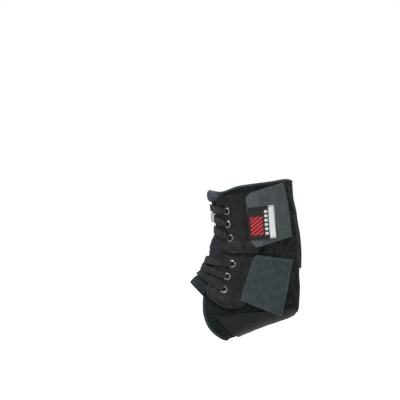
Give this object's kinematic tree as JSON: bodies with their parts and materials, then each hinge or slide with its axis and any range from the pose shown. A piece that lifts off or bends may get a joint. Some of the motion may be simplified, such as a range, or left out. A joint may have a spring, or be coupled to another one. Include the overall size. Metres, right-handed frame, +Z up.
{
  "type": "laced ankle brace",
  "caption": "Ankle brace in its worn form: neoprene walls with an open heel, lacing flaps with eyelets and laces, side straps, a stirrup under the arch and a padded tongue.",
  "frame": {"origin": "centre of the ankle, inside the hollow for the leg", "axes": "+Z up the leg, -X towards the toes, +X towards the heel, -Y towards the side with the label"},
  "size_m": [0.1248, 0.0846, 0.18],
  "materials": {
    "neoprene": "knitted nylon face, dull",
    "stretch": "smooth stretch cloth, dull",
    "binding_tape": "folded woven tape",
    "smooth_vinyl": "smooth coated cloth, satin",
    "vinyl": "grained coated cloth, satin",
    "hook_tape": "grey woven back of hook tape",
    "patch": "woven patch with a plain pattern",
    "lace_cloth": "flat braid",
    "metal": "worn nickel"
  },
  "bodies": {
    "root": {"quarter_near": "neoprene", "quarter_far": "neoprene", "back_panel": "neoprene", "tongue": "stretch", "tongue_binding": "stretch", "top_binding": "binding_tape", "heel_binding": "binding_tape", "heel_top_binding": "binding_tape", "foot_binding": "binding_tape", "stirrup": "smooth_vinyl", "flap_upper_near": "vinyl", "flap_upper_far": "vinyl", "flap_lower_near": "vinyl", "flap_lower_far": "vinyl", "strap_upper_near": "hook_tape", "strap_upper_far": "hook_tape", "strap_lower_near": "hook_tape", "strap_lower_far": "hook_tape", "label": "patch", "lace_upper": "lace_cloth", "lace_lower": "lace_cloth", "eyelet_upper_near_1": "metal", "eyelet_upper_near_2": "metal", "eyelet_upper_near_3": "metal", "eyelet_upper_far_1": "metal", "eyelet_upper_far_2": "metal", "eyelet_upper_far_3": "metal", "eyelet_lower_near_1": "metal", "eyelet_lower_near_2": "metal", "eyelet_lower_near_3": "metal", "eyelet_lower_far_1": "metal", "eyelet_lower_far_2": "metal", "eyelet_lower_far_3": "metal"}
  },
  "joints": []
}
